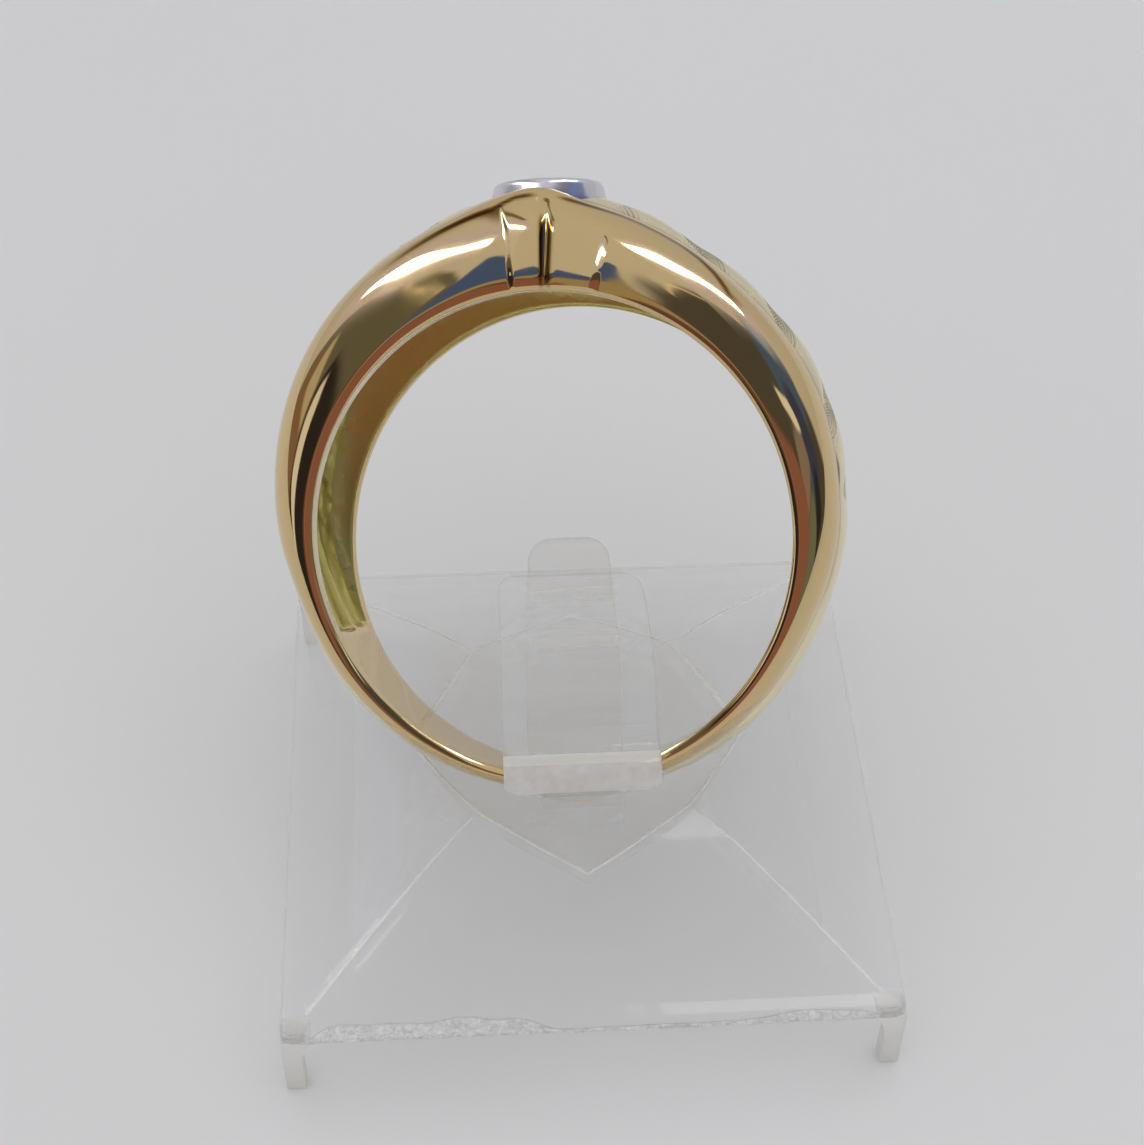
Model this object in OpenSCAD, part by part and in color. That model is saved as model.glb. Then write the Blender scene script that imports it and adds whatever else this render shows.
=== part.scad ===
// Triple band ring held in a clear clip stand. Millimetres, Z up, the floor at Z = 0.
// The viewer of the photograph looks along +Y and down. The finger hole faces the viewer.
// The ring is built round its own axis and then leaned back into the clip.

/* [Ring size] */
// finger hole diameter, mm
bore_d = 17.4; // [15:0.1:22]
// mean half width of the three bands, mm
half_w_mean = 2.92; // [2:0.01:4]
// how much wider the top is than the back of the shank, mm
half_w_taper = 0.99; // [0:0.01:2]
// flattening of that taper at the sides, mm
half_w_flat = -0.17; // [-0.5:0.01:0.5]
// height of the flat rim that faces the viewer beside the hole, mm
rim_flat = 0.2; // [0.1:0.01:0.5]

/* [Bands] */
// half width of the middle band as a share of the ring's half width
mid_share = 0.36; // [0.2:0.01:0.6]
// depth of the groove on each side of the middle band, mm
groove_depth = 0.22; // [0.05:0.01:0.5]
// how far the groove swings out round the setting, mm
groove_swing = 1.0; // [0:0.01:1.5]
// angle over which the groove swings round the setting, degrees
swing_angle = 9; // [4:0.5:20]
// squareness of the polished bands at the top, 2 is an ellipse
crest_power = 2.7; // [2:0.1:5]
// depth of the pinched valley in front of the setting, mm
valley_depth = 0.5; // [0:0.01:1]
// angle over which the valley fades, degrees
valley_angle = 5; // [2:0.5:15]
// swelling of the polished lobes beside the valley, mm
lobe_swell = 0.14; // [0:0.01:0.5]

/* [Rope of the middle band] */
// angle from one strand of the middle band to the next, degrees
strand_pitch = 19; // [10:0.5:40]
// slant of a strand from one groove to the other, degrees
strand_slant = 7; // [0:0.5:20]
// height of the plump strands over the ribbed ones, mm
strand_height = 0.2; // [0:0.01:0.5]
// angle from the top at which the strands end, degrees
strand_end = 85; // [40:1:140]

/* [Hollow back] */
// wall left over the hollow back, mm
wall = 0.75; // [0.5:0.01:1.5]
// extra wall under the setting, mm
seat_wall = 1.8; // [0:0.01:2]
// width of the lip that stands beside the hollow, mm
lip = 0.75; // [0.4:0.01:1.5]
// angle from the top at which the hollow ends, degrees
hollow_end = 112; // [60:1:150]

/* [Setting and stone] */
// outer diameter of the setting at its base, mm
setting_d = 4.32; // [3:0.01:7]
// outer diameter of the setting at its rim, mm
setting_rim_d = 4.06; // [3:0.01:7]
// height of the setting's rim over the bore, mm
setting_top = 4.2; // [3:0.01:6]
// height of the setting's foot over the bore, mm
setting_foot = 2.42; // [2:0.01:4]
// sideways place of the setting, mm
setting_shift = -0.15; // [-1:0.01:1]
// girdle diameter of the stone, mm
stone_d = 3.1; // [2:0.01:5]
// clearance between two pieces that meet, mm
gap = 0.04; // [0.02:0.01:0.2]

/* [Stand base] */
// width of the square base, mm
base_w = 22.5; // [16:0.1:40]
// height of the base's upper wall edge over the floor, mm
base_edge = 3.38; // [2:0.01:6]
// height of the thin upright wall at the edge, mm
edge_wall = 0.28; // [0.1:0.01:1]
// wall of the moulding, mm
shell = 0.9; // [0.6:0.01:1.5]
// width of a foot at the floor, mm
foot_w = 0.7; // [0.4:0.01:2]
// width of a foot under the wall, mm
foot_top_w = 1.1; // [0.6:0.01:3]
// half diagonal of the flat floor of the recess, mm
recess_floor = 2.15; // [1:0.05:4]
// height of the floor of the recess, mm
recess_z = 3.63; // [2:0.01:5]
// slope of the four facets of the recess
recess_slope = 0.525; // [0.2:0.005:1]

/* [Clip] */
// thickness of the two clip leaves, mm
leaf_t = 0.55; // [0.4:0.01:1.5]
// width of the front leaf at its foot, mm
leaf_w = 5.68; // [4:0.01:8]
// length of the front leaf above the shank, mm
leaf_l = 7.85; // [5:0.05:12]
// width of the rear tongue, mm
tongue_w = 3.7; // [2:0.01:6]
// length of the rear tongue above the shank, mm
tongue_l = 8.85; // [5:0.05:14]
// length of the rear tongue below the shank, down into the recess, mm
tongue_foot = 2.2; // [1.5:0.05:3]
// half width of the throat that takes the shank, mm
throat = 2.7; // [1.5:0.01:4]
// how far each leaf pinches in above the shank, mm
pinch = 0.6; // [0:0.01:1]
// width of the strap under the shank, mm
strap_w = 3.0; // [1.5:0.1:5]
// thickness of that strap, mm
strap_t = 0.42; // [0.3:0.01:1]
// distance from the middle of the shank's wall down to the strap, mm
strap_z = 0.62; // [0.5:0.01:1.5]
// sideways place of the clip, mm
clip_x = -0.11; // [-2:0.01:2]

/* [Pose of the ring] */
// lean of the ring and the clip back from upright, degrees
lean = 43.5; // [0:0.1:80]
// turn of the ring about the upright, degrees
turn = -17.1; // [-45:0.1:45]
// roll of the ring about its own axis, degrees
roll = -11.6; // [-45:0.1:45]
// centre of the ring, mm to the side
ring_x = -0.44; // [-5:0.01:5]
// centre of the ring, mm behind the middle of the base
ring_y = 3.6; // [0:0.01:12]
// centre of the ring, mm over the floor
ring_z = 13.32; // [8:0.01:16]

/* [Hidden] */
$fn = 48;
bore_r = bore_d / 2;
overhang = 3.063;     // how far the ring reaches behind the base
sections = 150;      // stations round the ring
arc_steps = 8;       // steps across each polished band
mid_steps = 8;       // points across the middle band

// heights over the bore round the ring
// columns: angle from the top, polished band at its groove, middle band
HEIGHTS = [
    [-180, 0.69, 0.80],
    [-165, 0.69, 0.86],
    [-150, 0.75, 0.98],
    [-135, 0.82, 1.16],
    [-120, 0.96, 1.38],
    [-110, 1.06, 1.48],
    [-100, 1.28, 1.67],
    [ -90, 1.64, 1.98],
    [ -80, 1.98, 2.21],
    [ -60, 2.60, 2.84],
    [ -43, 3.02, 3.27],
    [ -27, 3.25, 3.58],
    [ -16, 3.46, 3.78],
    [  -8, 3.68, 3.88],
    [   0, 3.77, 3.90],
    [   8, 3.34, 3.77],
    [  16, 3.06, 3.41],
    [  27, 2.73, 2.98],
    [  43, 2.40, 2.62],
    [  60, 2.15, 2.34],
    [  80, 1.72, 1.86],
    [  90, 1.55, 1.75],
    [ 100, 1.31, 1.53],
    [ 110, 1.08, 1.35],
    [ 120, 0.94, 1.24],
    [ 135, 0.84, 1.12],
    [ 150, 0.75, 0.98],
    [ 165, 0.69, 0.86],
    [ 180, 0.69, 0.80],
];

// squares of the low pyramid: half width, height over the wall edge
PYRAMID = [
    [base_w / 2, 0.00],
    [10.43, 0.20],
    [ 7.50, 1.87],
    [ 5.53, 2.81],
    [ 3.94, 3.27],
    [ 0.60, 3.68],
];

// a leaf's middle line above the shank: length along the leaf as a share, offset share
LEAF_LINE = [
    [0.00, 0.0],
    [0.17, 0.0],
    [0.29, 1.0],
    [0.40, 0.7],
    [0.55, 0.2],
    [0.70, -0.2],
    [1.00, -0.4],
];

// ---- small functions

function clamp01(v) = v < 0 ? 0 : v > 1 ? 1 : v;
function smooth(v) = let (c = clamp01(v)) c * c * (3 - 2 * c);
function bell(v, w) = exp(-(v / w) * (v / w));
function spow(v, p) = v <= 0 ? 0 : pow(v, p);

// smooth reading of one column of a table at an angle
function row_of(t, a, i = 0) = i >= len(t) - 2 || a < t[i + 1][0] ? i : row_of(t, a, i + 1);
function read(t, a, c) = let (
    i = row_of(t, a),
    f = clamp01((a - t[i][0]) / (t[i + 1][0] - t[i][0])),
    n = len(t),
    d = t[i + 1][0] - t[i][0],
    p = i > 0 ? t[i - 1] : [t[i][0] - d, t[i][1], t[i][2]],
    q = i < n - 2 ? t[i + 2] : [t[i + 1][0] + d, t[i + 1][1], t[i + 1][2]],
    m0 = (t[i + 1][c] - p[c]) / (t[i + 1][0] - p[0]) * d,
    m1 = (q[c] - t[i][c]) / (q[0] - t[i][0]) * d
) (2 * f * f * f - 3 * f * f + 1) * t[i][c] + (f * f * f - 2 * f * f + f) * m0
  + (3 * f * f - 2 * f * f * f) * t[i + 1][c] + (f * f * f - f * f) * m1;

// ---- the ring's section at an angle from the top

function half_w(a) = half_w_mean + half_w_taper * cos(a) + half_w_flat * cos(2 * a);
function mid_w(a) = mid_share * half_w(a) + groove_swing * bell(a, swing_angle);
function band_h(a) = read(HEIGHTS, a, 1);
function mid_h(a) = read(HEIGHTS, a, 2);
function power(a) = 2 + (crest_power - 2) * smooth(1 - abs(a) / 75);
function valley(a) = valley_depth * exp(-abs(a) / valley_angle);
function swell(a) = lobe_swell * bell(abs(a) - 14, 9);

// one polished band, from the rim at step 0 to its groove at the last step
function band_s(a, f) = let (
    w = half_w(a), m = mid_w(a), p = 2 / power(a)
) m + (w - m) * spow(cos(f), p)
  - (valley(a) - swell(a)) * spow(sin(f), 0.7) * spow(cos(f), 0.7);
function band_r(a, f) = let (p = 2 / power(a))
    bore_r + rim_flat + (band_h(a) - rim_flat) * spow(sin(f), p);

// the strands, plump ones between ribbed ones, which end before the shank
function strand_on(a) = smooth((strand_end - abs(a)) / 4) * smooth((abs(a) - 11) / 4);
function strand(a, q) = strand_height * strand_on(a)
    * (0.5 + 0.5 * cos(360 * (abs(a) - 55 - strand_slant * q * sign(a)) / strand_pitch));
function mid_r(a, q) = let (
    top = mid_h(a), low = band_h(a) - groove_depth * groove_on(a)
) bore_r + low + (top - low) * (1 - pow(abs(q), 3)) + (strand(a, q) - strand_height / 2 * strand_on(a)) * (1 - q * q);
function groove_on(a) = smooth((strand_end + 25 - abs(a)) / 30);
function groove_r(a) = bore_r + band_h(a) - groove_depth * groove_on(a);

// height of the outside over the axis at a place across the ring, for the hollow
function out_r(a, s) = let (
    w = half_w(a), m = mid_w(a), v = abs(s)
) v <= m ? bore_r + band_h(a) - groove_depth + (mid_h(a) - band_h(a) + groove_depth) * (1 - pow(v / m, 3))
  : bore_r + rim_flat + (band_h(a) - rim_flat)
      * spow(1 - pow((v - m) / (w - m), power(a)), 1 / power(a));
function hollow_on(a) = smooth((hollow_end - abs(a)) / 2.5 + 0.5);
function roof(a) = wall + seat_wall * bell(a, 15);
function ceiling(a, k) = let (s = k * (half_w(a) - lip))
    bore_r + hollow_on(a) * max(0, out_r(a, s) - roof(a) - bore_r);

MID_Q = [for (j = [0 : mid_steps - 1]) let (t = 1 - 2 * (j + 0.5) / mid_steps)
    sign(t) * (1 - pow(1 - abs(t), 1.4))];
ROOF_K = [0.9, 0.62, 0.25, -0.25, -0.62, -0.9];

// points of one section as [across, out from the axis], viewer's rim first
function section(a) = let (w = half_w(a)) concat(
    [[w, bore_r]],
    [for (j = [0 : arc_steps]) let (f = 90 * j / arc_steps) [band_s(a, f), band_r(a, f)]],
    [[mid_w(a) - 0.06, groove_r(a)]],
    [for (q = MID_Q) [q * (mid_w(a) - 0.06), mid_r(a, q)]],
    [[-mid_w(a) + 0.06, groove_r(a)]],
    [for (j = [0 : arc_steps]) let (f = 90 - 90 * j / arc_steps) [-band_s(a, f), band_r(a, f)]],
    [[-w, bore_r]],
    [[-w + lip, bore_r]],
    [for (i = [len(ROOF_K) - 1 : -1 : 0]) [ROOF_K[i] * (w - lip), ceiling(a, ROOF_K[i])]],
    [[w - lip, bore_r]]
);

// closer stations at the top than at the back of the shank
function station(i) = let (u = 360 * i / sections - 180) u - 0.27 * sin(u) * 180 / PI;

// the ring stands in its own frame: axis along Y, viewer at -Y, setting at +Z
function place(a, p) = [p[1] * sin(a), -p[0], p[1] * cos(a)];

// ---- sub-parts

module in_pose() {
    translate([ring_x, ring_y, ring_z])
        rotate([0, 0, turn]) rotate([-lean, 0, 0]) rotate([0, roll, 0]) children();
}

module ring_hoop() {
    n = len(section(0));
    pts = [for (i = [0 : sections - 1]) let (a = station(i)) for (p = section(a)) place(a, p)];
    faces = [for (i = [0 : sections - 1]) let (k = (i + 1) % sections)
        for (j = [0 : n - 1]) let (l = (j + 1) % n)
            each [[i * n + j, i * n + l, k * n + l], [i * n + j, k * n + l, k * n + j]]];
    polyhedron(points = pts, faces = faces, convexity = 8);
}

module ring_body() {
    color("gold") in_pose() difference() {
        ring_hoop();
        translate([setting_shift, 0, bore_r + setting_foot - gap])
            cylinder(h = 3, r = setting_d / 2 + gap);
    }
}

// the white collet: a tapered tube with a seat for the girdle and a rolled rim
module setting() {
    r0 = setting_d / 2;
    r1 = setting_rim_d / 2;
    z0 = bore_r + setting_foot;
    z1 = bore_r + setting_top;
    g = stone_d / 2;
    color("silver") in_pose() translate([setting_shift, 0, 0])
        rotate_extrude() polygon([
            [0.9, z0],
            [r0, z0],
            [r0, z1 - 0.75],
            [r1, z1 - 0.12],
            [r1 - 0.12, z1],
            [g - 0.1, z1],
            [g - 0.1, z1 - 0.16],
            [g + gap, z1 - 0.42],
            [g + gap, z1 - 0.6],
            [0.9, z1 - 1.35],
        ]);
}

// a round cut stone: table of eight sides, girdle of sixteen, eight main facets below
module stone() {
    g = stone_d / 2 - gap / 2;
    z1 = bore_r + setting_top - 0.05;
    zg = bore_r + setting_top - 0.46;
    zk = zg - 0.08;
    zc = zk - 1.15;
    table_r = g * 0.6;
    pts = concat(
        [for (i = [0 : 7]) [table_r * cos(45 * i), table_r * sin(45 * i), z1]],
        [for (i = [0 : 15]) [g * cos(22.5 * i), g * sin(22.5 * i), zg]],
        [for (i = [0 : 15]) [g * cos(22.5 * i), g * sin(22.5 * i), zk]],
        [[0, 0, zc]]
    );
    faces = concat(
        [[7, 6, 5, 4, 3, 2, 1, 0]],
        [for (i = [0 : 7]) let (n = (i + 1) % 8) each [
            [i, n, 8 + 2 * i + 1],
            [i, 8 + 2 * i + 1, 8 + 2 * i],
            [n, 8 + (2 * i + 2) % 16, 8 + 2 * i + 1]]],
        [for (i = [0 : 15]) let (n = (i + 1) % 16) [8 + i, 8 + n, 24 + n, 24 + i]],
        [for (i = [0 : 15]) let (n = (i + 1) % 16) [24 + i, 24 + n, 40]]
    );
    color("white") in_pose() translate([setting_shift, 0, 0])
        polyhedron(points = pts, faces = faces, convexity = 2);
}

// the squares of the pyramid as one closed solid, moved in and down for the hollow
module pyramid(inset, drop, foot_z) {
    rows = concat([[PYRAMID[0][0] - inset, foot_z]],
        [for (p = PYRAMID) [max(0.3, p[0] - inset), base_edge + p[1] - drop]]);
    n = len(rows);
    pts = [for (p = rows) each [[-p[0], -p[0], p[1]], [p[0], -p[0], p[1]],
        [p[0], p[0], p[1]], [-p[0], p[0], p[1]]]];
    faces = concat([[0, 1, 2, 3]],
        [for (i = [0 : n - 2]) for (j = [0 : 3]) let (l = (j + 1) % 4)
            [4 * i + j, 4 * i + 4 + j, 4 * i + 4 + l, 4 * i + l]],
        [[4 * n - 1, 4 * n - 2, 4 * n - 3, 4 * n - 4]]);
    polyhedron(points = pts, faces = faces, convexity = 4);
}

// the sunk diamond in the top, as the solid that is cut away
module recess(drop) {
    z0 = recess_z - drop;
    z1 = base_edge + 6;
    d0 = recess_floor;
    d1 = recess_floor + (z1 - z0) / recess_slope;
    pts = [for (p = [[d0, z0], [d1, z1]]) each [[p[0], 0, p[1]], [0, p[0], p[1]], [-p[0], 0, p[1]], [0, -p[0], p[1]]]];
    polyhedron(points = pts, faces = [[0, 1, 2, 3], [7, 6, 5, 4],
        [0, 4, 5, 1], [1, 5, 6, 2], [2, 6, 7, 3], [3, 7, 4, 0]], convexity = 2);
}

module base_shell() {
    difference() {
        pyramid(0, 0, base_edge - edge_wall);
        recess(0);
        difference() {
            pyramid(shell, shell, -1);
            recess(shell * 1.1);
        }
    }
}

// four corner posts that widen into the wall
module feet() {
    h = base_edge - edge_wall;
    c = base_w / 2;
    for (sx = [-1, 1]) for (sy = [-1, 1]) scale_flip(sx, sy) {
        translate([c - foot_w, c - foot_w, 0]) cube([foot_w, foot_w, h + 0.1]);
        translate([c - foot_top_w, c - foot_w, 0]) foot_fillet(h);
        translate([c, c - foot_top_w, 0]) rotate([0, 0, 90]) translate([0, 0, 0]) foot_fillet(h);
    }
}

module scale_flip(sx, sy) {
    mirror([sx < 0 ? 1 : 0, 0, 0]) mirror([0, sy < 0 ? 1 : 0, 0]) children();
}

module foot_fillet(h) {
    d = foot_top_w - foot_w;
    translate([0, foot_w, 0]) rotate([90, 0, 0]) linear_extrude(height = foot_w)
        polygon([for (p = [[0, h + 0.1], [0, h], [d * 0.35, h - d * 1.2], [d * 0.7, h - d * 2.6],
            [d, h - d * 4.5], [d + 0.1, h - d * 4.5], [d + 0.1, h + 0.1]]) p]);
}

// the clip's frame: origin under the shank, local Z along the leaves
clip_r = bore_r + 0.37;
clip_o = [clip_x,
    ring_y - clip_r * (cos(turn) * sin(lean) * cos(roll) + sin(turn) * sin(roll)),
    ring_z - clip_r * cos(lean) * cos(roll)];

module in_clip() {
    translate(clip_o) rotate([-lean, 0, 0]) children();
}

// one leaf as a bent strip seen from the side: along +Y here means away from the throat
function leaf_mid(l, f) = [throat + leaf_t / 2 - pinch * read3(LEAF_LINE, f), f * l];
function read3(t, v) = let (i = row_of(t, v), f = clamp01((v - t[i][0]) / (t[i + 1][0] - t[i][0])))
    t[i][1] + (t[i + 1][1] - t[i][1]) * smooth(f);

module leaf_strip(l, foot) {
    n = 20;
    side = [for (i = [0 : n]) leaf_mid(l, i / n)];
    polygon(concat(
        [[throat, -foot]],
        [[throat + leaf_t, -foot]],
        [for (p = side) p + [leaf_t / 2, 0]],
        [for (i = [n : -1 : 0]) side[i] - [leaf_t / 2, 0]]));
}

// outline of the front leaf, straight on the left and tapered on the right
FRONT = [
    [-2.84, 0.12], [-1.5, -0.14], [-1.5, -1.3], [1.5, -1.3], [1.5, -0.14], [2.84, 0.12],
    [2.76, 3.9], [2.63, 5.1], [2.50, 6.4], [2.36, 7.2], [2.20, 7.55], [1.92, 7.78], [1.6, 7.85],
    [-2.3, 7.85], [-2.55, 7.78], [-2.72, 7.6], [-2.80, 7.3], [-2.84, 3.9],
];

module tongue_outline(w0, w1, l, r, foot) {
    polygon(concat(
        [[-w0 / 2, -foot], [w0 / 2, -foot], [w0 / 2 - 0.04, l * 0.5]],
        [for (i = [0 : 6]) [w1 / 2 - r + r * cos(15 * i), l - r + r * sin(15 * i)]],
        [for (i = [6 : -1 : 0]) [-w1 / 2 + r - r * cos(15 * i), l - r + r * sin(15 * i)]],
        [[-w0 / 2 + 0.04, l * 0.5]]));
}

// one leaf: the bent strip cut by the outline that the child gives
module leaf(side, w, l, foot) {
    intersection() {
        rotate([90, 0, 90]) translate([0, 0, -w / 2 - 1]) linear_extrude(height = w + 2)
            mirror([side < 0 ? 1 : 0, 0, 0]) leaf_strip(l, foot);
        rotate([90, 0, 0]) translate([0, 0, -8]) linear_extrude(height = 16) children();
    }
}

module clip() {
    in_clip() {
        leaf(-1, leaf_w, leaf_l, strap_z + strap_t)
            scale([leaf_w / 5.68, leaf_l / 7.85]) polygon(FRONT);
        leaf(1, tongue_w, tongue_l, tongue_foot)
            tongue_outline(tongue_w, tongue_w - 0.6, tongue_l, 0.9, tongue_foot);
        // the strap under the shank that joins the two leaves
        translate([-strap_w / 2, -throat - leaf_t, -strap_z - strap_t])
            cube([strap_w, 2 * (throat + leaf_t), strap_t]);
    }
}

module stand() {
    color("lightblue") {
        base_shell();
        feet();
        clip();
    }
}

// the origin is under the middle of the whole, which the ring's overhang moves back
module in_frame() {
    translate([0, -overhang / 2, 0]) children();
}

in_frame() ring_body();
in_frame() setting();
in_frame() stone();
in_frame() stand();
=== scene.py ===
"""Looks of the triple band ring in its clear clip stand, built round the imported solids."""

import math

import bpy
import numpy as np
from bpy.props import FloatProperty, FloatVectorProperty, PointerProperty
from mathutils import Matrix


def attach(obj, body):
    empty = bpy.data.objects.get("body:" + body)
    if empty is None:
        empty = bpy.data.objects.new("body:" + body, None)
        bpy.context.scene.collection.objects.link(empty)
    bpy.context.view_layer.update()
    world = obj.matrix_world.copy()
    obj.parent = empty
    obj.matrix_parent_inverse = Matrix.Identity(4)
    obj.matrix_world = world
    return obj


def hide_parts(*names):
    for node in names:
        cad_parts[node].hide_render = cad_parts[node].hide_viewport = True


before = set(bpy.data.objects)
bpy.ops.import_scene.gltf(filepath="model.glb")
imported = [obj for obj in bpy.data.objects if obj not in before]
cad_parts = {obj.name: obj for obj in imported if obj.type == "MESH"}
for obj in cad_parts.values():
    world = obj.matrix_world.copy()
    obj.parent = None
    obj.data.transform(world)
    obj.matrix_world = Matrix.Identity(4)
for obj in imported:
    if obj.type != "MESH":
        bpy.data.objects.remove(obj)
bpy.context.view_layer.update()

bl_info = {
    "name": "Band ring and clip stand",
    "version": (1, 0, 0),
    "blender": (4, 5, 0),
    "location": "3D View > Sidebar > Ring",
    "description": "Dresses the packed triple band ring and its clear clip stand",
    "category": "Object",
}

MM = 0.001
BACK_SHIFT = -1.5315      # the origin is under the middle of the whole, mm
RING_X, RING_Y, RING_Z = -.44, 3.6, 13.32      # middle of the finger hole before that shift, mm
ROLL, TURN = -11.6, -17.1      # of the ring in the clip, degrees
GROOVE = .22              # depth of the two grooves, mm
FLAT_TOP = 46             # where the flats beside the crease end, degrees up the section
LEAF_MIDDLE, PINCH = 2.975, .6      # a leaf's middle line from the throat's middle, and how far it pinches, mm
RECESS_FLOOR, RECESS_HALF, RECESS_SLOPE = 3.63, 2.15, .525      # height and half diagonal, mm, and rise per mm
RIM = .2                  # height of the rim over the bore, where the outer band's curve starts, mm
SETTING_SHIFT = -.15      # of the setting from the top of the ring, mm
FOLD, STRAP = 1.22, 1.5   # height of the leaf's fold over the shank, and half width of the strap, mm
LEAF_END = .27            # length of a leaf's rounded end, mm
BELOW_FLOOR = -2          # where a card starts, degrees over the floor

# heights over the bore round the ring, mm: angle from the top, polished band at its groove, middle band
HEIGHTS = np.array([
    (-180, .69, .80), (-165, .69, .86), (-150, .75, .98), (-135, .82, 1.16), (-120, .96, 1.38),
    (-110, 1.06, 1.48), (-100, 1.28, 1.67), (-90, 1.64, 1.98), (-80, 1.98, 2.21), (-60, 2.60, 2.84),
    (-43, 3.02, 3.27), (-27, 3.25, 3.58), (-16, 3.46, 3.78), (-8, 3.68, 3.88), (0, 3.77, 3.90),
    (8, 3.34, 3.77), (16, 3.06, 3.41), (27, 2.73, 2.98), (43, 2.40, 2.62), (60, 2.15, 2.34),
    (80, 1.72, 1.86), (90, 1.55, 1.75), (100, 1.31, 1.53), (110, 1.08, 1.35), (120, .94, 1.24),
    (135, .84, 1.12), (150, .75, .98), (165, .69, .86), (180, .69, .80),
])

# squares of the low pyramid, mm: half width, height over the wall's edge
PYRAMID = np.array([(11.25, 0), (10.43, .2), (7.5, 1.87), (5.53, 2.81), (3.94, 3.27), (.6, 3.68)])

# middle line of a leaf above the shank: share of its length, share of the pinch
LEAF_LINE = np.array([(0, 0), (.17, 0), (.29, 1), (.40, .7), (.55, .2), (.70, -.2), (1, -.4)])

# ridges across the tongue: height and half width, mm, and share of the full height
RIDGES = np.array([(7.05, .10, 1), (6.65, .10, 1), (4.85, .16, 1), (3.75, .12, .6)])

# edges of the front leaf, mm: height, left edge, right edge
FRONT_EDGES = np.array([
    (-.02, -2.25, 2.25), (.10, -2.76, 2.76), (.20, -2.84, 2.84), (2.0, -2.84, 2.80), (3.9, -2.84, 2.76),
    (5.1, -2.83, 2.63), (6.4, -2.81, 2.50), (7.2, -2.80, 2.36), (7.5, -2.76, 2.23), (7.65, -2.69, 2.09),
    (7.76, -2.57, 1.94), (7.85, -2.3, 1.6),
])


# ---- small functions

def srgb(text):
    """A hex colour as it is seen, turned to the linear red, green, blue and alpha that Blender takes."""
    parts = [int(text[i:i + 2], 16) / 255 for i in (1, 3, 5)]
    return (*[c / 12.92 if c <= .04045 else ((c + .055) / 1.055) ** 2.4 for c in parts], 1.0)


def add(tree, kind, settings=None, links=None):
    """Adds one node. Settings are its properties, its inputs' values or a colour ramp's stops.
    Links are the sockets that feed it, or the nodes whose first output does."""
    made = tree.nodes.new(kind)
    for key, value in (settings or {}).items():
        if key == "stops":
            ramp = made.color_ramp
            while len(ramp.elements) > 1:
                ramp.elements.remove(ramp.elements[-1])
            ramp.elements[0].position, ramp.elements[0].color = value[0]
            for place, colour in value[1:]:
                ramp.elements.new(place).color = colour
        elif isinstance(key, int) or key in made.inputs:
            made.inputs[key].default_value = value
        else:
            setattr(made, key, value)
    for key, source in (links or {}).items():
        tree.links.new(source.outputs[0] if isinstance(source, bpy.types.Node) else source, made.inputs[key])
    return made


def clamp(v):
    return np.clip(v, 0, 1)


def smooth(v):
    """0 below 0 and 1 above 1, with an S curve between: three v squared less two v cubed."""
    v = clamp(v)
    return v * v * (3 - 2 * v)


def bell(v, w):
    """A bell curve of half width w: e to the minus square of v over w."""
    return np.exp(-(v / w) ** 2)


def power_of(v, p):
    return np.maximum(v, 0) ** p


def cos_d(degrees):
    return np.cos(np.radians(degrees))


def sin_d(degrees):
    return np.sin(np.radians(degrees))


def turned(points, axis, degrees):
    """Points turned round one axis through the origin, by the right hand rule."""
    c, s = math.cos(math.radians(degrees)), math.sin(math.radians(degrees))
    i, j = {"x": (1, 2), "y": (2, 0), "z": (0, 1)}[axis]
    out = points.copy()
    out[..., i] = c * points[..., i] - s * points[..., j]
    out[..., j] = s * points[..., i] + c * points[..., j]
    return out


def grain(points, size, seed):
    """Smooth lumps of about one size, from -1 to 1: the mean of nine sines along fixed pseudo random directions."""
    rng = np.random.default_rng(seed)
    total = np.zeros(points.shape[:-1])
    for _ in range(9):
        way = rng.normal(size=3)
        way *= rng.uniform(.6, 1.6) / (np.linalg.norm(way) * size)
        total += np.sin(points @ way * math.pi + rng.uniform(0, 6.3))
    return total / 9


def points_of(*coordinates):
    """Points from their coordinates, each of which is an array or a number."""
    return np.stack(np.broadcast_arrays(*coordinates), -1)


def join(*parts):
    """Joins rows of numbers end to end, in grids row by row."""
    return np.concatenate(parts, -1)


def grid_quads(rows, columns, close_rows=False, close_columns=True):
    """Quads between the points of a grid of rows and columns, numbered row by row."""
    i = np.arange(rows if close_rows else rows - 1)[:, None]
    j = np.arange(columns if close_columns else columns - 1)[None, :]
    a, b = i * columns, (i + 1) % rows * columns
    k = (j + 1) % columns
    return np.stack([a + j, a + k, b + k, b + j], axis=-1).reshape(-1, 4).tolist()


def capped(points):
    """Faces of a closed body from a grid of points: quads round it, and a cap on its first and on its last row."""
    rows, columns = points.shape[:2]
    return grid_quads(rows, columns) + [list(range(columns))[::-1], list(range((rows - 1) * columns, rows * columns))]


def outward(points, faces):
    """Turns the faces round if the solid's volume, the sum of its cones to the origin, comes out below nothing."""
    volume = 0.0
    for size in {len(f) for f in faces}:
        group = np.array([f for f in faces if len(f) == size])
        for k in range(1, size - 1):
            p, q, r = points[group[:, 0]], points[group[:, k]], points[group[:, k + 1]]
            volume += float(np.einsum("ij,ij->i", p, np.cross(q, r)).sum()) / 6
    return faces if volume >= 0 else [f[::-1] for f in faces]


def mesh_of(name, points, faces, flat=False):
    """A mesh from points in millimetres and faces, outside out."""
    points = np.asarray(points, float).reshape(-1, 3)
    mesh = bpy.data.meshes.new(name)
    mesh.from_pydata((points * MM).tolist(), [], outward(points, faces))
    mesh.validate()
    mesh.polygons.foreach_set("use_smooth", np.full(len(mesh.polygons), not flat))
    mesh.update()
    return mesh


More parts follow.
